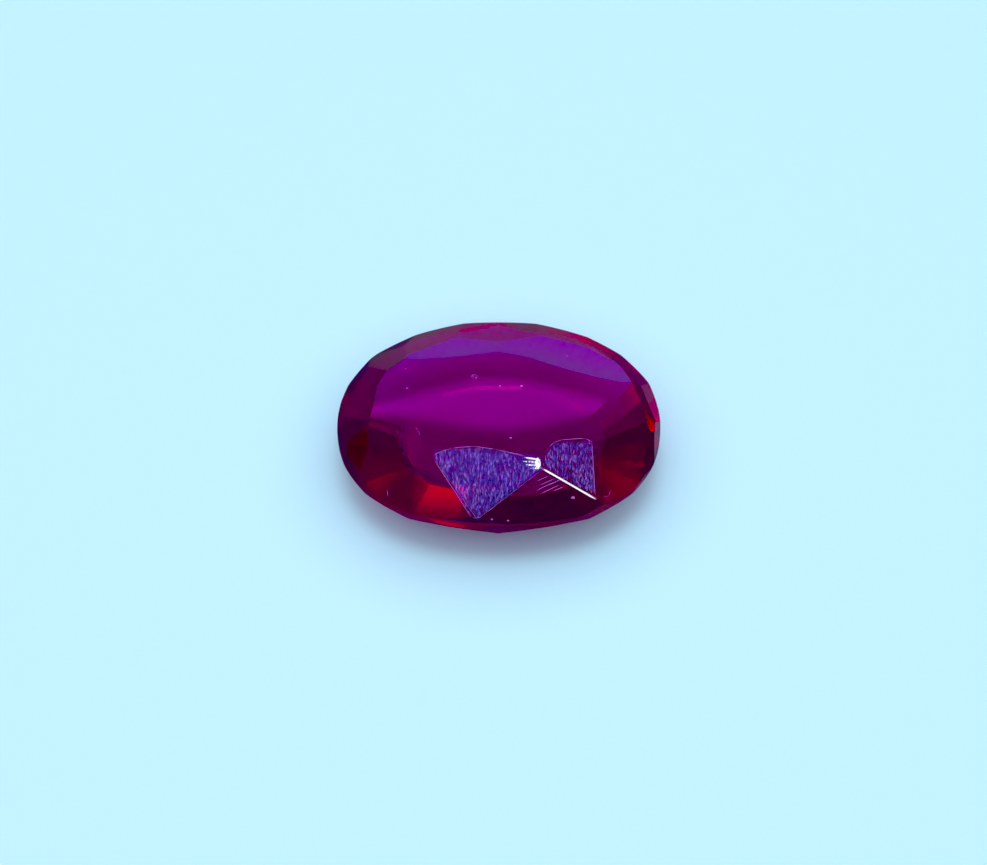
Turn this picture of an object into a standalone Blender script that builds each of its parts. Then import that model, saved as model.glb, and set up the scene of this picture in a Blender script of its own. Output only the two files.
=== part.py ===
"""A faceted oval ruby, cut from a blank facet by facet the way a stone is ground.

Units are millimetres in the plan below and metres in Blender. X runs along the
stone, Y across it, and Z up through the table. The stone rests on its culet at Z = 0.
"""

import math

import bmesh
import bpy
from mathutils import Vector

MM = 0.001

# Driving dimensions of the stone, in millimetres
LENGTH = 8.0
WIDTH = 6.0
CROWN_HEIGHT = 0.87
GIRDLE_THICKNESS = 0.12
PAVILION_DEPTH = 1.40

# Levels above the culet that the dimensions above give
GIRDLE_LOW = PAVILION_DEPTH
GIRDLE_HIGH = GIRDLE_LOW + GIRDLE_THICKNESS
TABLE_LEVEL = GIRDLE_HIGH + CROWN_HEIGHT

# Outline of the girdle: a slightly full oval, fuller in front than behind
FRONT_OVAL_POWER = 2.3
REAR_OVAL_POWER = 2.1
OUTLINE_STEPS = 96
DOME_RINGS = 24
BLANK_FLOOR = -1.0
LEVEL_SLACK = 0.001
REACH_STEPS = 720
CUT_SLACK = 0.00001

# The table is worn round towards its rim: it drops by TABLE_DROP at this half size
TABLE_DROP = 0.10
TABLE_HALF_LENGTH = 3.4
TABLE_HALF_WIDTH = 1.9
TABLE_DROP_POWER = 4
TABLE_DROP_LIMIT = 4.0

# Crown facets round the table: azimuth, slope from the girdle plane, and how far
# from the stone's axis the facet meets the level of the table
CROWN_FACETS = {
    "front_left_star": (266, 19.0, 1.27),
    "front_bezel": (284.8, 31.5, 1.75),
    "front_right_star": (310.8, 22.0, 1.66),
    "right_front_bezel": (319.6, 25.5, 1.92),
    "right_front_star": (327.6, 22.0, 2.07),
    "right_end_bezel": (5, 42.0, 3.18),
    "right_rear_bezel": (43, 40.0, 2.72),
    "rear_right_star": (70, 22.0, 1.45),
    "rear_bezel": (79, 22.0, 1.40),
    "rear_left_star": (98, 22.0, 1.42),
    "left_rear_bezel": (128, 38.0, 2.39),
    "left_rear_star": (151, 38.0, 2.80),
    "left_end_bezel": (171, 42.0, 2.96),
    "left_front_bezel": (205, 36.0, 2.96),
    "left_front_star": (239, 19.0, 1.77),
    "front_left_bezel": (245.6, 28.0, 1.79),
}

# Facets that run along the upper edge of the girdle: azimuth and slope
UPPER_GIRDLE_FACETS = {
    "rear_rim": (90, 33.0),
    "rear_left_rim": (107, 36.0),
    "left_rear_rim": (120, 44.0),
    "left_rear_end_rim": (147, 52.0),
    "left_end_rim": (163, 60.0),
    "left_front_end_rim": (190, 64.0),
    "left_front_rim": (213, 66.0),
    "front_left_rim": (236, 70.0),
    "front_rim_left": (264, 74.0),
    "front_rim_right": (278.5, 74.0),
    "front_right_rim": (296, 70.0),
    "right_front_rim": (322, 66.0),
    "right_front_end_rim": (350, 64.0),
    "right_rear_end_rim": (12, 56.0),
    "right_rear_rim": (40, 48.0),
    "rear_right_end_rim": (57, 42.0),
    "rear_right_rim": (72, 36.0),
}
RIM_BITE = 0.03

# Facets of the pavilion just below the girdle
LOWER_GIRDLE_FACETS = 16
LOWER_GIRDLE_SLOPE = 50

# Main pavilion facets and the flat culet that they meet
MAIN_FACETS = 24
MAIN_SLOPE = 33
CULET_HALF_LENGTH = 2.2
CULET_HALF_WIDTH = 1.15

RUBY_COLOUR = (0.42, 0.0, 0.16, 1.0)


def oval_point(angle, half_length, half_width):
    """Point of the girdle's oval at a parameter angle."""
    along = math.cos(angle)
    across = math.sin(angle)
    power = FRONT_OVAL_POWER if across < 0 else REAR_OVAL_POWER
    x = half_length * math.copysign(abs(along) ** (2 / power), along)
    y = half_width * math.copysign(abs(across) ** (2 / power), across)
    return x, y


def reach(azimuth, half_length, half_width):
    """Distance from the axis to the oval's tangent that faces an azimuth."""
    facing = math.radians(azimuth)
    steps = [2 * math.pi * step / REACH_STEPS for step in range(REACH_STEPS)]
    points = [oval_point(angle, half_length, half_width) for angle in steps]
    return max(x * math.cos(facing) + y * math.sin(facing) for x, y in points)


def table_height(x, y):
    """Level of the worn table at a place on it."""
    along = x / TABLE_HALF_LENGTH
    across = y / TABLE_HALF_WIDTH
    rim = math.hypot(along, across) ** TABLE_DROP_POWER
    return TABLE_LEVEL - TABLE_DROP * min(rim, TABLE_DROP_LIMIT)


def make_blank():
    """The blank that is ground: an oval drum with the domed table on top."""
    blank = bmesh.new()
    bmesh.ops.create_uvsphere(blank, u_segments=OUTLINE_STEPS, v_segments=2 * DOME_RINGS, radius=1.0)
    for vert in blank.verts:
        angle = math.atan2(vert.co.y, vert.co.x)
        radius = math.hypot(vert.co.x, vert.co.y)
        x, y = oval_point(angle, radius * LENGTH / 2, radius * WIDTH / 2)
        on_top = vert.co.z > -LEVEL_SLACK
        level = table_height(x, y) if on_top else BLANK_FLOOR
        vert.co = Vector((x, y, level))
    return blank


def grind(stone, normal, point):
    """Cut one flat facet: everything beyond the plane goes and the cut is closed."""
    everything = stone.verts[:] + stone.edges[:] + stone.faces[:]
    bmesh.ops.bisect_plane(
        stone,
        geom=everything,
        dist=CUT_SLACK,
        plane_co=point,
        plane_no=normal,
        clear_outer=True,
    )
    rim = [edge for edge in stone.edges if edge.is_boundary]
    if rim:
        bmesh.ops.holes_fill(stone, edges=rim, sides=0)


def grind_crown(stone, azimuth, slope, distance, level):
    """Facet above the girdle that passes the given level at the given distance."""
    facing = math.radians(azimuth)
    tilt = math.radians(slope)
    outward = Vector((math.cos(facing), math.sin(facing), 0.0))
    normal = outward * math.sin(tilt) + Vector((0, 0, math.cos(tilt)))
    grind(stone, normal, outward * distance + Vector((0, 0, level)))


def grind_pavilion(stone, azimuth, slope, distance, level):
    """Facet below the girdle that passes the given level at the given distance."""
    facing = math.radians(azimuth)
    tilt = math.radians(slope)
    outward = Vector((math.cos(facing), math.sin(facing), 0.0))
    normal = outward * math.sin(tilt) - Vector((0, 0, math.cos(tilt)))
    grind(stone, normal, outward * distance + Vector((0, 0, level)))


def make_stone():
    """Grind the whole stone from the blank, in millimetres."""
    stone = make_blank()
    for azimuth, slope, distance in CROWN_FACETS.values():
        grind_crown(stone, azimuth, slope, distance, TABLE_LEVEL)
    for azimuth, slope in UPPER_GIRDLE_FACETS.values():
        edge = reach(azimuth, LENGTH / 2, WIDTH / 2) - RIM_BITE
        grind_crown(stone, azimuth, slope, edge, GIRDLE_HIGH)
    for number in range(LOWER_GIRDLE_FACETS):
        azimuth = 360 * (number + 0.5) / LOWER_GIRDLE_FACETS
        edge = reach(azimuth, LENGTH / 2, WIDTH / 2) - RIM_BITE
        grind_pavilion(stone, azimuth, LOWER_GIRDLE_SLOPE, edge, GIRDLE_LOW)
    for number in range(MAIN_FACETS):
        azimuth = 360 * number / MAIN_FACETS
        edge = reach(azimuth, CULET_HALF_LENGTH, CULET_HALF_WIDTH)
        grind_pavilion(stone, azimuth, MAIN_SLOPE, edge, 0.0)
    grind(stone, Vector((0, 0, -1)), Vector((0, 0, 0)))
    return stone


def ruby_material():
    """Deep purplish red corundum."""
    material = bpy.data.materials.new("ruby")
    material.use_nodes = True
    shader = material.node_tree.nodes["Principled BSDF"]
    shader.inputs["Base Color"].default_value = RUBY_COLOUR
    shader.inputs["Metallic"].default_value = 0.0
    shader.inputs["Roughness"].default_value = 0.05
    shader.inputs["IOR"].default_value = 1.76
    shader.inputs["Transmission Weight"].default_value = 0.6
    return material


def main():
    """Clear the scene and put the finished stone in its own collection."""
    for old in list(bpy.data.objects):
        bpy.data.objects.remove(old, do_unlink=True)
    collection = bpy.data.collections.new("faceted_oval_ruby")
    bpy.context.scene.collection.children.link(collection)

    stone = make_stone()
    bmesh.ops.scale(stone, vec=(MM, MM, MM), verts=stone.verts)
    bmesh.ops.recalc_face_normals(stone, faces=stone.faces)
    mesh = bpy.data.meshes.new("ruby")
    stone.to_mesh(mesh)
    stone.free()
    mesh.materials.append(ruby_material())
    ruby = bpy.data.objects.new("ruby", mesh)
    collection.objects.link(ruby)


main()
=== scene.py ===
import math
import random

import bmesh
import bpy
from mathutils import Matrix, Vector
from mathutils.bvhtree import BVHTree


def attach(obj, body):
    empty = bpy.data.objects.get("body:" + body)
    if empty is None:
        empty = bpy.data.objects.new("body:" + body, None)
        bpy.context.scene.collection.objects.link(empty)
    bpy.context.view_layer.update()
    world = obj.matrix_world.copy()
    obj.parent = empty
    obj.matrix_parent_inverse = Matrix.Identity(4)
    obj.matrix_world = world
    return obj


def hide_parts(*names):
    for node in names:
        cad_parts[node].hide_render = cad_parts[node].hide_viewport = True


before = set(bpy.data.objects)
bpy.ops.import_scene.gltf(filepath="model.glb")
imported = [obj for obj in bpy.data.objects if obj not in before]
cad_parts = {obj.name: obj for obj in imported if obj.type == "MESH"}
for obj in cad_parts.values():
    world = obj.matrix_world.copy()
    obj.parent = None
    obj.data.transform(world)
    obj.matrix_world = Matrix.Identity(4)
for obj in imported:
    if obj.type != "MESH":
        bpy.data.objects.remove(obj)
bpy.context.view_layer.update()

mm = 0.001


# Shape of the stone: millimetres and degrees, heights from the flat culet upwards
cut = {
    "length": 7.996,
    "width": 5.998,
    "crownHeight": 0.87,
    "girdleThickness": 0.12,
    "pavilionDepth": 1.40,
    "frontOvalPower": 2.3,  # the outline is a little fuller in front than behind
    "rearOvalPower": 2.1,
    "outlineSteps": 96,
    "domeRings": 64,
    "blankFloor": -1.0,
    "tableDrop": 0.10,  # how far the worn table falls at its rim
    "tableDropPower": 4,
    "tableDropLimit": 4.0,
    "tableHalfLength": 3.4,
    "tableHalfWidth": 1.9,
    "reachSteps": 720,
    "rimBite": 0.03,
    "lowerGirdleFacets": 16,
    "lowerGirdleSlope": 50,
    "mainFacets": 24,
    "mainSlope": 33,
    "culetHalfLength": 2.2,
    "culetHalfWidth": 1.15,
    "levelSlack": 0.001,
    "cutSlack": 0.00001,
}
girdleLow = cut["pavilionDepth"]
girdleHigh = girdleLow + cut["girdleThickness"]
tableLevel = girdleHigh + cut["crownHeight"]

# Azimuth, slope, and distance from the axis at the level of the table
crownFacets = {
    "frontLeftStar": (266, 19.0, 1.27),
    "frontBezel": (284.8, 31.5, 1.75),
    "frontRightStar": (310.8, 22.0, 1.66),
    "rightFrontBezel": (319.6, 25.5, 1.92),
    "rightFrontStar": (327.6, 22.0, 2.07),
    "rightEndBezel": (5, 42.0, 3.18),
    "rightRearBezel": (43, 40.0, 2.72),
    "rearRightStar": (70, 22.0, 1.45),
    "rearBezel": (79, 22.0, 1.40),
    "rearLeftStar": (98, 22.0, 1.42),
    "leftRearBezel": (128, 38.0, 2.39),
    "leftRearStar": (151, 38.0, 2.80),
    "leftEndBezel": (171, 42.0, 2.96),
    "leftFrontBezel": (205, 36.0, 2.96),
    "leftFrontStar": (239, 19.0, 1.77),
    "frontLeftBezel": (245.6, 28.0, 1.79),
}

# Azimuth and slope of the facets along the upper edge of the girdle
rimFacets = {
    "rear": (90, 33.0),
    "rearLeft": (107, 36.0),
    "leftRear": (120, 44.0),
    "leftRearEnd": (147, 52.0),
    "leftEnd": (163, 60.0),
    "leftFrontEnd": (190, 64.0),
    "leftFront": (213, 66.0),
    "frontLeft": (236, 70.0),
    "frontNearLeft": (264, 74.0),
    "frontNearRight": (278.5, 74.0),
    "frontRight": (296, 70.0),
    "rightFront": (322, 66.0),
    "rightFrontEnd": (350, 64.0),
    "rightRearEnd": (12, 56.0),
    "rightRear": (40, 48.0),
    "rearRightEnd": (57, 42.0),
    "rearRight": (72, 36.0),
}

# Every face carries the number of its facet: these two, and then one more for each cut
tableNumber = 1
wallNumber = 2


def ovalPoint(angle, halfLength, halfWidth):
    along = math.cos(angle)
    across = math.sin(angle)
    power = cut["frontOvalPower"] if across < 0 else cut["rearOvalPower"]
    x = halfLength * math.copysign(abs(along) ** (2 / power), along)
    y = halfWidth * math.copysign(abs(across) ** (2 / power), across)
    return x, y


def reach(azimuth, halfLength, halfWidth):
    # distance from the axis to the oval's tangent that faces the azimuth
    facing = math.radians(azimuth)
    steps = cut["reachSteps"]
    points = [ovalPoint(2 * math.pi * step / steps, halfLength, halfWidth) for step in range(steps)]
    return max(x * math.cos(facing) + y * math.sin(facing) for x, y in points)


def girdleReach(azimuth):
    return reach(azimuth, cut["length"] / 2, cut["width"] / 2) - cut["rimBite"]


def tableHeight(x, y):
    rim = math.hypot(x / cut["tableHalfLength"], y / cut["tableHalfWidth"]) ** cut["tableDropPower"]
    return tableLevel - cut["tableDrop"] * min(rim, cut["tableDropLimit"])


def makeBlank():
    # an oval drum with the domed table on top, still without facets
    blank = bmesh.new()
    bmesh.ops.create_uvsphere(
        blank, u_segments=cut["outlineSteps"], v_segments=2 * cut["domeRings"], radius=1.0)
    for vert in blank.verts:
        angle = math.atan2(vert.co.y, vert.co.x)
        radius = math.hypot(vert.co.x, vert.co.y)
        x, y = ovalPoint(angle, radius * cut["length"] / 2, radius * cut["width"] / 2)
        onTop = vert.co.z > -cut["levelSlack"]
        vert.co = Vector((x, y, tableHeight(x, y) if onTop else cut["blankFloor"]))
    facetLayer = blank.faces.layers.int.new("facet")
    for face in blank.faces:
        onTop = face.calc_center_median().z > girdleHigh
        face[facetLayer] = tableNumber if onTop else wallNumber
    return blank


def grind(stone, normal, point, facetNumber):
    # everything beyond the plane goes, and the cut is closed with one flat facet
    everything = stone.verts[:] + stone.edges[:] + stone.faces[:]
    bmesh.ops.bisect_plane(
        stone, geom=everything, dist=cut["cutSlack"],
        plane_co=point, plane_no=normal, clear_outer=True)
    rim = [edge for edge in stone.edges if edge.is_boundary]
    if rim:
        facetLayer = stone.faces.layers.int["facet"]
        for face in bmesh.ops.holes_fill(stone, edges=rim, sides=0)["faces"]:
            face[facetLayer] = facetNumber


def grindFacet(stone, azimuth, slope, distance, level, facetNumber, upward=1):
    facing = math.radians(azimuth)
    tilt = math.radians(slope)
    outward = Vector((math.cos(facing), math.sin(facing), 0.0))
    normal = outward * math.sin(tilt) + Vector((0, 0, upward * math.cos(tilt)))
    grind(stone, normal, outward * distance + Vector((0, 0, level)), facetNumber)


def cutStone():
    # the wear finds the facets by the numbers that are returned with the stone
    stone = makeBlank()
    number = wallNumber
    numbers = {}
    for name, (azimuth, slope, distance) in crownFacets.items():
        number += 1
        numbers[name] = number
        grindFacet(stone, azimuth, slope, distance, tableLevel, number)
    for azimuth, slope in rimFacets.values():
        number += 1
        grindFacet(stone, azimuth, slope, girdleReach(azimuth), girdleHigh, number)
    numbers["pavilion"] = number + 1  # its first facet, and all the later ones are part of it
    for step in range(cut["lowerGirdleFacets"]):
        number += 1
        azimuth = 360 * (step + 0.5) / cut["lowerGirdleFacets"]
        edge = girdleReach(azimuth)
        grindFacet(stone, azimuth, cut["lowerGirdleSlope"], edge, girdleLow, number, upward=-1)
    for step in range(cut["mainFacets"]):
        number += 1
        azimuth = 360 * step / cut["mainFacets"]
        edge = reach(azimuth, cut["culetHalfLength"], cut["culetHalfWidth"])
        grindFacet(stone, azimuth, cut["mainSlope"], edge, 0.0, number, upward=-1)
    numbers["culet"] = number + 1
    grind(stone, Vector((0, 0, -1)), Vector((0, 0, 0)), numbers["culet"])
    return stone, numbers


# Worn edges and dull facets: widths in millimetres, angles in degrees
wear = {
    "edgeWidth": 0.010,
    "scuffedEdgeWidth": 0.028,
    "culetEdgeWidth": 0.22,
    "edgeSegments": 2,
    "culetEdgeSegments": 4,
    "edgeProfile": 0.5,
    "scuffedFacets": {"frontLeftStar": "scuffed", "frontRightStar": "deepScuffed"},
    "scuffedUpTo": {"frontRightStar": -0.93},
    "scuffLineLean": 0.06,
    "scuffLineSlack": 0.0001,
    "weldDistance": 0.004,
    "sharpFrom": 1.5,
    "smoothUpTo": 4,
}

# Roughness, and how deep the fine scratches of each finish are
finishes = {
    "pavilion": (0.20, 0.0),
    "scuffed": (0.10, 1.0),
    "deepScuffed": (0.14, 1.2),
    "wornEdge": (0.20, 0.0),
    "scuffedEdge": (0.30, 0.0),
    "frosted": (0.25, 0.0),
}


def setFinish(stone, faces, name):
    layers = [stone.faces.layers.float[key] for key in ("roughness", "scratched")]
    for face in faces:
        for layer, value in zip(layers, finishes[name]):
            face[layer] = value


def facesNumbered(stone, number):
    facetLayer = stone.faces.layers.int["facet"]
    return [face for face in stone.faces if face[facetLayer] == number]


def scuffFacets(stone, numbers):
    # a scuffed facet may be worn only up to a line across it
    scuffedFaces = set()
    for name, finish in wear["scuffedFacets"].items():
        faces = facesNumbered(stone, numbers[name])
        limit = wear["scuffedUpTo"].get(name)
        if limit is not None:
            geometry = {part for face in faces for part in (face, *face.edges, *face.verts)}
            bmesh.ops.bisect_plane(
                stone, geom=list(geometry), dist=wear["scuffLineSlack"],
                plane_co=(0, limit, 0), plane_no=(wear["scuffLineLean"], 1, 0))
            faces = [face for face in facesNumbered(stone, numbers[name])
                     if face.calc_center_median().y < limit]
        setFinish(stone, faces, finish)
        scuffedFaces.update(faces)
    return scuffedFaces


def bevelEdges(stone, edges, width, finish, segments):
    bevelled = bmesh.ops.bevel(
        stone, geom=edges, offset=width, offset_type="OFFSET", segments=segments,
        profile=wear["edgeProfile"], affect="EDGES", clamp_overlap=True)
    setFinish(stone, bevelled["faces"], finish)
    return set(bevelled["faces"])


def wearEdges(stone, numbers):
    bmesh.ops.remove_doubles(stone, verts=stone.verts, dist=wear["weldDistance"])
    bmesh.ops.recalc_face_normals(stone, faces=stone.faces)
    facetLayer = stone.faces.layers.int["facet"]
    stone.faces.layers.float.new("roughness")
    stone.faces.layers.float.new("scratched")
    scuffedFaces = scuffFacets(stone, numbers)
    setFinish(stone, facesNumbered(stone, wallNumber), "frosted")
    pavilion = [face for face in stone.faces if face[facetLayer] >= numbers["pavilion"]]
    setFinish(stone, pavilion, "pavilion")
    culet = facesNumbered(stone, numbers["culet"])
    culetEdges = {edge for face in culet for edge in face.edges}
    culetFaces = bevelEdges(
        stone, list(culetEdges), wear["culetEdgeWidth"], "pavilion", wear["culetEdgeSegments"])

    def isSharp(edge):
        neighbours = set(edge.link_faces)
        onTwoFacets = len({face[facetLayer] for face in neighbours}) > 1
        isBent = edge.calc_face_angle(0) > math.radians(wear["sharpFrom"])
        return onTwoFacets and isBent and not culetFaces & neighbours

    broken = [edge for edge in stone.edges if isSharp(edge) and scuffedFaces & set(edge.link_faces)]
    brokenFaces = bevelEdges(
        stone, broken, wear["scuffedEdgeWidth"], "scuffedEdge", wear["edgeSegments"])
    crisp = [edge for edge in stone.edges if isSharp(edge) and not brokenFaces & set(edge.link_faces)]
    bevelEdges(stone, crisp, wear["edgeWidth"], "wornEdge", wear["edgeSegments"])


# See-through corundum, with the finish of each face read from the mesh
ruby = {
    "ior": 1.762,
    "tint": (1.0, 0.82, 0.95, 1.0),
    "absorptionColor": (0.95, 0.0, 0.905, 1.0),
    "absorptionDensity": 3000.0,  # per metre
    "scratchAcross": 12.0,  # scratches per millimetre
    "scratchAlong": 2.5,
    "scratchLean": 6,  # degrees
    "scratchDetail": 3.0,
    "scratchRoughness": 0.6,
    "scratchStrength": 0.45,
    "scratchDepth": 0.012,  # millimetres
}


def addNode(tree, kind, **values):
    node = tree.nodes.new(kind)
    for name, value in values.items():
        if hasattr(node, name):
            setattr(node, name, value)
        else:
            node.inputs[name].default_value = value
    return node


def rubyMaterial():
    material = bpy.data.materials.new("rubyCorundum")
    material.use_nodes = True
    tree = material.node_tree
    links = tree.links
    shader = tree.nodes["Principled BSDF"]
    output = tree.nodes["Material Output"]
    shader.inputs["Base Color"].default_value = ruby["tint"]
    shader.inputs["Transmission Weight"].default_value = 1.0
    shader.inputs["IOR"].default_value = ruby["ior"]

    rough = addNode(tree, "ShaderNodeAttribute", attribute_name="roughness")
    links.new(rough.outputs["Fac"], shader.inputs["Roughness"])

    # long fine scratches, which only the scuffed facets show
    place = addNode(tree, "ShaderNodeTexCoord")
    stretch = addNode(tree, "ShaderNodeMapping")
    across = ruby["scratchAcross"] / mm
    along = ruby["scratchAlong"] / mm
    stretch.inputs["Scale"].default_value = (across, along, along)
    stretch.inputs["Rotation"].default_value = (0, 0, math.radians(ruby["scratchLean"]))
    scratch = addNode(tree, "ShaderNodeTexNoise", Scale=1.0,
                      Detail=ruby["scratchDetail"], Roughness=ruby["scratchRoughness"])
    scratched = addNode(tree, "ShaderNodeAttribute", attribute_name="scratched")
    depth = addNode(tree, "ShaderNodeMath", operation="MULTIPLY")
    bump = addNode(tree, "ShaderNodeBump",
                   Strength=ruby["scratchStrength"], Distance=ruby["scratchDepth"] * mm)
    links.new(place.outputs["Object"], stretch.inputs["Vector"])
    links.new(stretch.outputs["Vector"], scratch.inputs["Vector"])
    links.new(scratch.outputs["Fac"], depth.inputs[0])
    links.new(scratched.outputs["Fac"], depth.inputs[1])
    links.new(depth.outputs[0], bump.inputs["Height"])
    links.new(bump.outputs["Normal"], shader.inputs["Normal"])

    absorb = addNode(tree, "ShaderNodeVolumeAbsorption",
                     Color=ruby["absorptionColor"], Density=ruby["absorptionDensity"])
    links.new(absorb.outputs["Volume"], output.inputs["Volume"])
    return material


def buildRuby():
    stone, numbers = cutStone()
    wearEdges(stone, numbers)
    bmesh.ops.recalc_face_normals(stone, faces=stone.faces)
    bmesh.ops.scale(stone, vec=(mm, mm, mm), verts=stone.verts)
    mesh = bpy.data.meshes.new("cutRuby")
    stone.to_mesh(mesh)
    stone.free()
    mesh.shade_smooth()
    mesh.set_sharp_from_angle(angle=math.radians(wear["smoothUpTo"]))
    mesh.materials.append(rubyMaterial())
    piece = bpy.data.objects.new("cutRuby", mesh)
    bpy.context.scene.collection.objects.link(piece)
    return piece


# Bruises and scratches that lie in the surface, and painted highlights where the lamp glints on a
# worn corner and edge: places from above and widths in millimetres.
# Ends say over which share of a blade each of its ends tapers
wearMarksAndGlints = {
    "lift": 0.0003,
    "rayHeight": 1000.0,  # where the rays start that find the surface
    "roughness": 0.5,
    # the white of the painted highlights
    "paintedGlintColor": (0.95, 0.92, 0.95, 1.0),
    "paleColor": (0.36, 0.18, 0.42, 1.0),
    "bladeStep": 0.08,
    "bladeSteps": 3,  # at least
    "bladeTip": 0.15,  # width of the tip, as a share of the full width
    "glintEnds": 0.1,
    # painted highlights: a white line along one crown edge and a comb of white slivers at a table
    # corner, where the lamp glints
    "glintLine": ((1.02, -1.75), (2.35, -2.32), 0.045),
    "combEnds": 0.3,
    "glintComb": (
        ((0.62, -1.50), (1.00, -1.56), 0.040),
        ((0.58, -1.59), (1.00, -1.62), 0.045),
        ((0.64, -1.67), (1.00, -1.69), 0.045),
        ((0.76, -1.76), (1.01, -1.75), 0.040),
        ((0.93, -1.51), (0.95, -1.78), 0.130),
    ),
    "lineWidth": 0.015,
    "lineEnds": 0.15,
    "wornLines": (
        ((-1.62, -1.42), (-1.13, -1.25), (-0.60, -1.21), (-0.09, -1.29), (0.63, -1.47)),
        ((-1.61, -1.46), (-0.67, -2.86), (-0.48, -2.90)),
        ((1.22, -1.22), (1.32, -1.10), (1.53, -1.01), (2.10, -0.90), (2.26, -0.96), (2.33, -2.28)),
        ((-2.04, -0.66), (-1.96, -0.75), (-1.91, -0.91)),
        ((2.53, -2.22), (2.64, -2.21), (2.72, -2.04)),
        ((0.89, -2.24), (1.30, -2.04)),
        ((1.01, -2.29), (1.47, -2.07)),
        ((1.20, -2.10), (1.62, -1.90)),
        ((0.90, -2.04), (1.20, -1.91)),
        ((0.98, -2.12), (1.36, -1.95)),
        ((1.30, -2.22), (1.58, -2.10)),
        ((-2.71, -2.05), (-2.68, -2.23)),
    ),
    "bubble": (-0.60, 0.78, 0.075),  # place and radius
    "bubbleEnds": 0.01,
    "roundSteps": 10,
    "speckFlatness": 0.6,
    "speckRipple": 0.3,
    "speckLobes": 3,
    "speckTurn": 40,
    "specks": (
        (0.03, 0.51, 0.08), (0.56, 0.51, 0.10), (-2.25, 0.46, 0.06), (0.29, -0.98, 0.07),
        (1.79, -2.32, 0.10), (-0.17, -2.90, 0.06), (0.22, -2.90, 0.06), (-2.30, 1.05, 0.06),
        (1.70, 1.54, 0.07), (-0.63, 0.80, 0.05), (-0.57, 0.76, 0.05),
    ),
}

# Fine scratches that cover a facet, painted in the bluish reflection of the overhead light with
# lighter and darker streaks: how many, how long and wide, and how far they lean
streaks = {
    "sets": {  # share of the count, lift in millimetres, colour
        # painted reflection: these colours are the lamp's bluish sheen on the scratched facets, in a
        # middle, a lighter and a darker tone
        "scratchSheenStreaks": (1.0, 0.0003, (0.10, 0.07, 0.32, 1.0)),
        "scratchSheenFlecks": (0.26, 0.0008, (0.35, 0.22, 0.58, 1.0)),
        "scratchSheenDarkStreaks": (0.26, 0.0013, (0.035, 0.015, 0.16, 1.0)),
    },
    "counts": {"frontLeftStar": 1700, "frontRightStar": 800},
    "inside": {
        "frontLeftStar": (
            (-1.63, -1.41), (-1.13, -1.25), (-0.46, -1.21), (0.27, -1.38),
            (0.99, -1.56), (0.99, -1.81), (-0.48, -2.91), (-0.69, -2.88)),
        "frontRightStar": (
            (1.03, -1.72), (1.10, -1.45), (1.34, -1.10), (1.55, -1.03), (2.26, -0.93), (2.32, -2.25)),
    },
    "length": (0.04, 0.14),
    "width": (0.007, 0.015),
    "ends": 0.25,
    "lean": 8,
    "seed": 7,
}


def onCrown(surface, x, y):
    above = Vector((x * mm, y * mm, wearMarksAndGlints["rayHeight"] * mm))
    hit, normal, _, _ = surface.ray_cast(above, Vector((0, 0, -1)))
    return hit / mm, normal


def addBlade(marks, surface, start, end, width, ends, lift=wearMarksAndGlints["lift"]):
    # a slender blade that follows the surface from start to end and tapers at both ends
    steps = max(wearMarksAndGlints["bladeSteps"], round(math.dist(start, end) / wearMarksAndGlints["bladeStep"]))
    alongX = end[0] - start[0]
    alongY = end[1] - start[1]
    left = []
    right = []
    for step in range(steps + 1):
        share = step / steps
        point, normal = onCrown(surface, start[0] + alongX * share, start[1] + alongY * share)
        side = normal.cross(Vector((alongX, alongY, 0.0))).normalized()
        taper = min(1.0, share / ends, (1 - share) / ends)
        half = 0.5 * width * (wearMarksAndGlints["bladeTip"] + (1 - wearMarksAndGlints["bladeTip"]) * taper)
        left.append(marks.verts.new(point + side * half + normal * lift))
        right.append(marks.verts.new(point - side * half + normal * lift))
    for step in range(steps):
        marks.faces.new((left[step], left[step + 1], right[step + 1], right[step]))


def circleAngles():
    steps = wearMarksAndGlints["roundSteps"]
    return [2 * math.pi * step / steps for step in range(steps)]


def addSpeck(marks, surface, x, y, width):
    point, normal = onCrown(surface, x, y)
    side = normal.cross(Vector((0, 1, 0))).normalized()
    other = side.cross(normal).normalized()
    corners = []
    for angle in circleAngles():
        # the lobes are turned another way for each speck
        lobes = math.sin(wearMarksAndGlints["speckLobes"] * angle + wearMarksAndGlints["speckTurn"] * x)
        radius = 0.5 * width * (1 + wearMarksAndGlints["speckRipple"] * lobes)
        offset = side * math.cos(angle) + other * wearMarksAndGlints["speckFlatness"] * math.sin(angle)
        corners.append(marks.verts.new(point + offset * radius + normal * wearMarksAndGlints["lift"]))
    marks.faces.new(corners)


# painted highlights: white slivers where the lamp's glint falls on the worn corner and edge
def drawGlints(marks, surface):
    start, end, width = wearMarksAndGlints["glintLine"]
    addBlade(marks, surface, start, end, width, wearMarksAndGlints["glintEnds"])
    for start, end, width in wearMarksAndGlints["glintComb"]:
        addBlade(marks, surface, start, end, width, wearMarksAndGlints["combEnds"])


def drawLines(marks, surface):
    for path in wearMarksAndGlints["wornLines"]:
        for start, end in zip(path, path[1:]):
            addBlade(marks, surface, start, end, wearMarksAndGlints["lineWidth"], wearMarksAndGlints["lineEnds"])
    x, y, radius = wearMarksAndGlints["bubble"]
    ring = [(x + radius * math.cos(turn), y + radius * math.sin(turn)) for turn in circleAngles()]
    for start, end in zip(ring, ring[1:] + ring[:1]):
        addBlade(marks, surface, start, end, wearMarksAndGlints["lineWidth"], wearMarksAndGlints["bubbleEnds"])
    for x, y, width in wearMarksAndGlints["specks"]:
        addSpeck(marks, surface, x, y, width)


def isInside(x, y, corners):
    inside = False
    for (x0, y0), (x1, y1) in zip(corners, corners[1:] + corners[:1]):
        if (y0 > y) != (y1 > y) and x < x0 + (x1 - x0) * (y - y0) / (y1 - y0):
            inside = not inside
    return inside


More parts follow.
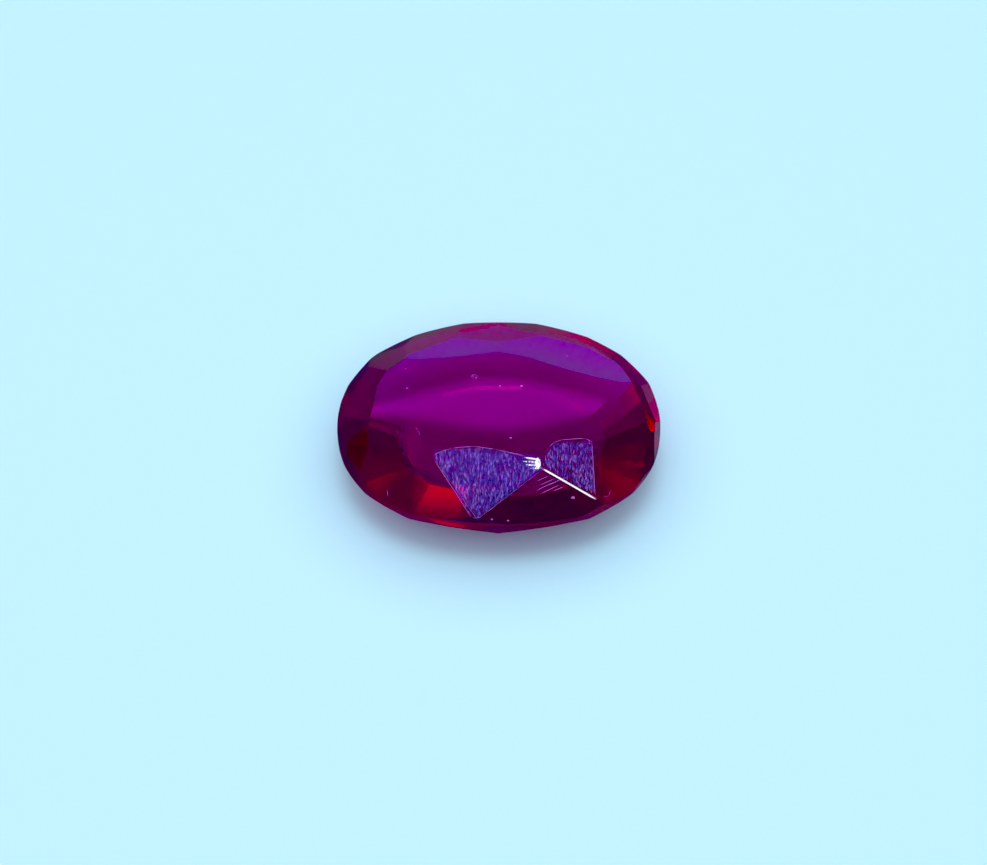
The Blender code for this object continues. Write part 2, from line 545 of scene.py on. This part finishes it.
def drawStreaks(marks, surface, share, lift):
    chance = random.Random(streaks["seed"] + share + lift)  # another seed for each set
    for name, count in streaks["counts"].items():
        corners = streaks["inside"][name]
        lowX, highX = min(x for x, y in corners), max(x for x, y in corners)
        lowY, highY = min(y for x, y in corners), max(y for x, y in corners)
        placed = 0
        while placed < share * count:
            x = chance.uniform(lowX, highX)
            y = chance.uniform(lowY, highY)
            lean = math.radians(chance.uniform(-streaks["lean"], streaks["lean"]))
            half = 0.5 * chance.uniform(*streaks["length"])
            width = chance.uniform(*streaks["width"])
            start = (x - half * math.sin(lean), y - half * math.cos(lean))
            end = (x + half * math.sin(lean), y + half * math.cos(lean))
            if isInside(*start, corners) and isInside(*end, corners):
                addBlade(marks, surface, start, end, width, streaks["ends"], lift)
                placed += 1


def markMaterial(name, color):
    material = bpy.data.materials.new(name)
    material.use_nodes = True
    shader = material.node_tree.nodes["Principled BSDF"]
    shader.inputs["Base Color"].default_value = color
    shader.inputs["Roughness"].default_value = wearMarksAndGlints["roughness"]
    return material


def buildMarks(name, surface, color, draw, *values):
    marks = bmesh.new()
    draw(marks, surface, *values)
    bmesh.ops.scale(marks, vec=(mm, mm, mm), verts=marks.verts)
    marks.normal_update()
    for face in marks.faces:
        if face.normal.z < 0:
            face.normal_flip()
    mesh = bpy.data.meshes.new(name)
    marks.to_mesh(mesh)
    marks.free()
    mesh.materials.append(markMaterial(name, color))
    piece = bpy.data.objects.new(name, mesh)
    bpy.context.scene.collection.objects.link(piece)
    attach(piece, "root")


def addWearAndPaintedLight(rubyPiece):
    surface = BVHTree.FromObject(rubyPiece, bpy.context.evaluated_depsgraph_get())
    # painted highlights of the lamp, in white
    buildMarks("paintedGlints", surface, wearMarksAndGlints["paintedGlintColor"], drawGlints)
    buildMarks("wearLines", surface, wearMarksAndGlints["paleColor"], drawLines)
    # scratch streaks whose colours paint the bluish reflection of the overhead light
    for name, (share, lift, color) in streaks["sets"].items():
        buildMarks(name, surface, color, drawStreaks, share, lift)


# Pale paper under the stone: half its size in metres, and its gap below the culet in millimetres
paper = {
    "color": (0.56, 0.78, 0.87, 1.0),
    "roughness": 0.6,
    "shine": 0.2,
    "halfSize": 0.6,
    "gap": 0.02,
}


def makeFloor():
    bpy.ops.mesh.primitive_plane_add(size=2 * paper["halfSize"], location=(0, 0, -paper["gap"] * mm))
    floor = bpy.context.object
    floor.name = "paleFloor"
    material = bpy.data.materials.new("palePaper")
    material.use_nodes = True
    shader = material.node_tree.nodes["Principled BSDF"]
    shader.inputs["Base Color"].default_value = paper["color"]
    shader.inputs["Roughness"].default_value = paper["roughness"]
    shader.inputs["Specular IOR Level"].default_value = paper["shine"]
    floor.data.materials.append(material)
    floor.visible_glossy = False  # the world stands in for it in the reflections


# Angle in degrees, aim in millimetres on the level of the girdle
cameraPlace = {
    "lens": 85.0,
    "sensor": 36.0,
    "elevation": 58.5,
    "aim": (-0.13, -0.30),
    "pixelsPerMillimetre": 40.5,
    "frameWidth": 987,
    "clip": (0.001, 10.0),
}


def makeCamera():
    data = bpy.data.cameras.new("photoCamera")
    data.lens = cameraPlace["lens"]
    data.sensor_width = cameraPlace["sensor"]
    data.clip_start, data.clip_end = cameraPlace["clip"]
    camera = bpy.data.objects.new("photoCamera", data)
    bpy.context.scene.collection.objects.link(camera)
    viewWidth = cameraPlace["frameWidth"] / cameraPlace["pixelsPerMillimetre"] * mm
    distance = viewWidth * cameraPlace["lens"] / cameraPlace["sensor"]
    elevation = math.radians(cameraPlace["elevation"])
    aim = Vector((*cameraPlace["aim"], girdleHigh)) * mm
    back = Vector((0, -math.cos(elevation), math.sin(elevation)))
    camera.location = aim + back * distance
    camera.rotation_euler = (math.radians(90 - cameraPlace["elevation"]), 0, 0)
    bpy.context.scene.camera = camera


# Direction from the stone, distance and size in metres, brightness, colour, and what the lamp
# is for: to light surfaces, to be seen through the stone, or to be mirrored by it
lamps = {
    "softKey": {"toward": (0.0, 0.0, 1.0), "distance": 0.30, "size": 0.11,
                "brightness": 8.0, "color": (0.78, 0.97, 1.0), "for": "surfaces"},
    "fill": {"toward": (0.0, 0.0, 1.0), "distance": 0.20, "size": 0.56,
             "brightness": 1.6, "color": (0.95, 0.93, 1.0), "for": "surfaces"},
    "rearThrough": {"toward": (0.42, 0.58, 0.69), "distance": 0.25, "size": 0.15,
                    "brightness": 2.4, "color": (1.0, 0.85, 0.50), "for": "refraction"},
    "frontThrough": {"toward": (0.05, -0.65, 0.76), "distance": 0.25, "size": 0.14,
                     "brightness": 10.0, "color": (0.97, 0.85, 1.0), "for": "refraction"},
    "leftThrough": {"toward": (-0.60, -0.35, 0.72), "distance": 0.25, "size": 0.11,
                    "brightness": 3.5, "color": (1.0, 0.85, 0.70), "for": "refraction"},
    "lowLeftThrough": {"toward": (-0.86, -0.34, 0.38), "distance": 0.25, "size": 0.12,
                       "brightness": 7.0, "color": (1.0, 0.40, 0.25), "for": "refraction"},
    "throughFill": {"toward": (0.0, 0.0, 1.0), "distance": 0.20, "size": 0.56,
                    "brightness": 1.75, "color": (1.0, 0.88, 1.0), "for": "refraction"},
    "panel": {"toward": (0.12, -0.06, 0.98), "distance": 0.25, "size": 0.14,
              "brightness": 1.9, "color": (0.10, 0.25, 1.0), "for": "reflection"},
}


def makeLamp(name):
    values = lamps[name]
    data = bpy.data.lights.new(name, "AREA")
    data.shape = "DISK"
    data.size = values["size"]
    # power of a flat lamp for a wanted brightness: pi times its area times the brightness
    data.energy = math.pi * math.pi * data.size ** 2 / 4 * values["brightness"]
    data.color = values["color"]
    lamp = bpy.data.objects.new(name, data)
    bpy.context.scene.collection.objects.link(lamp)
    toward = Vector(values["toward"]).normalized()
    lamp.location = toward * values["distance"]
    lamp.rotation_euler = toward.to_track_quat("Z", "Y").to_euler()
    lamp.visible_diffuse = values["for"] == "surfaces"
    lamp.visible_transmission = values["for"] == "refraction"
    lamp.visible_glossy = values["for"] == "reflection"


# What the stone mirrors: a dark room, bluish overhead and behind, with the paper around it.
# A span is where a colour begins and where it is full, along one axis of the direction
sky = {
    "dark": (0.03, 0.006, 0.03, 1.0),
    "overhead": (0.05, 0.004, 0.22, 1.0),
    "overheadHeight": (0.45, 0.90),
    "low": (0.06, 0.05, 0.22, 1.0),
    "lowHeight": (0.50, 0.10),
    "rightFloor": (0.45, 0.50, 0.85, 1.0),
    "rightFloorSide": (0.45, 0.80),
    "rightFloorHeight": (-0.10, -0.30),
    "rear": (0.50, 0.70, 1.75, 1.0),
    "rearDepth": (0.62, 0.88),
    "rearHeight": (0.0, 0.12),
    "rearArc": (1.8, 0.05, 2.3, 1.0),
    "arcDepth": (0.45, 0.52),
    "arcRise": (0.814, 0.844),
    "arcFall": (0.888, 0.844),
    "rearFloor": (0.39, 0.29, 0.45, 1.0),
    "rearFloorDepth": (0.84, 0.96),
    "rearFloorHeight": (0.02, -0.08),
}


def makeWorld():
    world = bpy.data.worlds.new("paleStudio")
    world.use_nodes = True
    tree = world.node_tree
    links = tree.links
    place = addNode(tree, "ShaderNodeTexCoord")
    split = addNode(tree, "ShaderNodeSeparateXYZ")
    links.new(place.outputs["Generated"], split.inputs["Vector"])

    def along(axis, span):
        step = addNode(tree, "ShaderNodeMapRange", interpolation_type="SMOOTHSTEP")
        step.inputs["From Min"].default_value, step.inputs["From Max"].default_value = sky[span]
        links.new(split.outputs[axis], step.inputs["Value"])
        return step.outputs["Result"]

    def times(first, second):
        product = addNode(tree, "ShaderNodeMath", operation="MULTIPLY")
        links.new(first, product.inputs[0])
        links.new(second, product.inputs[1])
        return product.outputs[0]

    def over(share, under, name):
        mix = addNode(tree, "ShaderNodeMix", data_type="RGBA")
        lower, upper = [socket for socket in mix.inputs if socket.type == "RGBA"]
        links.new(share, mix.inputs[0])
        if isinstance(under, tuple):
            lower.default_value = under
        else:
            links.new(under, lower)
        upper.default_value = sky[name]
        return [socket for socket in mix.outputs if socket.type == "RGBA"][0]

    color = over(along("Z", "overheadHeight"), sky["dark"], "overhead")
    color = over(along("Z", "lowHeight"), color, "low")
    rightFloor = times(along("X", "rightFloorSide"), along("Z", "rightFloorHeight"))
    color = over(rightFloor, color, "rightFloor")
    color = over(times(along("Y", "rearDepth"), along("Z", "rearHeight")), color, "rear")
    arc = times(along("Z", "arcRise"), along("Z", "arcFall"))
    color = over(times(arc, along("Y", "arcDepth")), color, "rearArc")
    rearFloor = times(along("Y", "rearFloorDepth"), along("Z", "rearFloorHeight"))
    color = over(rearFloor, color, "rearFloor")
    links.new(color, tree.nodes["Background"].inputs["Color"])
    world.cycles_visibility.diffuse = False
    world.cycles_visibility.transmission = False
    bpy.context.scene.world = world


# Depth of the light paths, and the grade of the finished picture
picture = {
    "allBounces": 24,
    "mirrorBounces": 16,
    "glassBounces": 16,
    "paperBounces": 4,
    "saturation": 1.25,
}


def setPicture():
    scene = bpy.context.scene
    scene.view_settings.view_transform = "Standard"
    scene.cycles.max_bounces = picture["allBounces"]
    scene.cycles.glossy_bounces = picture["mirrorBounces"]
    scene.cycles.transmission_bounces = picture["glassBounces"]
    scene.cycles.diffuse_bounces = picture["paperBounces"]
    scene.use_nodes = True
    tree = scene.node_tree
    tree.nodes.clear()
    layers = tree.nodes.new("CompositorNodeRLayers")
    shade = tree.nodes.new("CompositorNodeHueSat")
    shade.inputs["Saturation"].default_value = picture["saturation"]
    output = tree.nodes.new("CompositorNodeComposite")
    tree.links.new(layers.outputs["Image"], shade.inputs["Image"])
    tree.links.new(shade.outputs["Image"], output.inputs["Image"])


print("camera, paper and studio")
makeCamera()
makeFloor()
for lampName in lamps:
    makeLamp(lampName)
makeWorld()
setPicture()

print("ruby")
rubyPiece = buildRuby()
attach(rubyPiece, "root")
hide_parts("ruby")

# wear marks, painted highlights, and scratch streaks painted with the lamp's reflection
print("marks of wear")
addWearAndPaintedLight(rubyPiece)
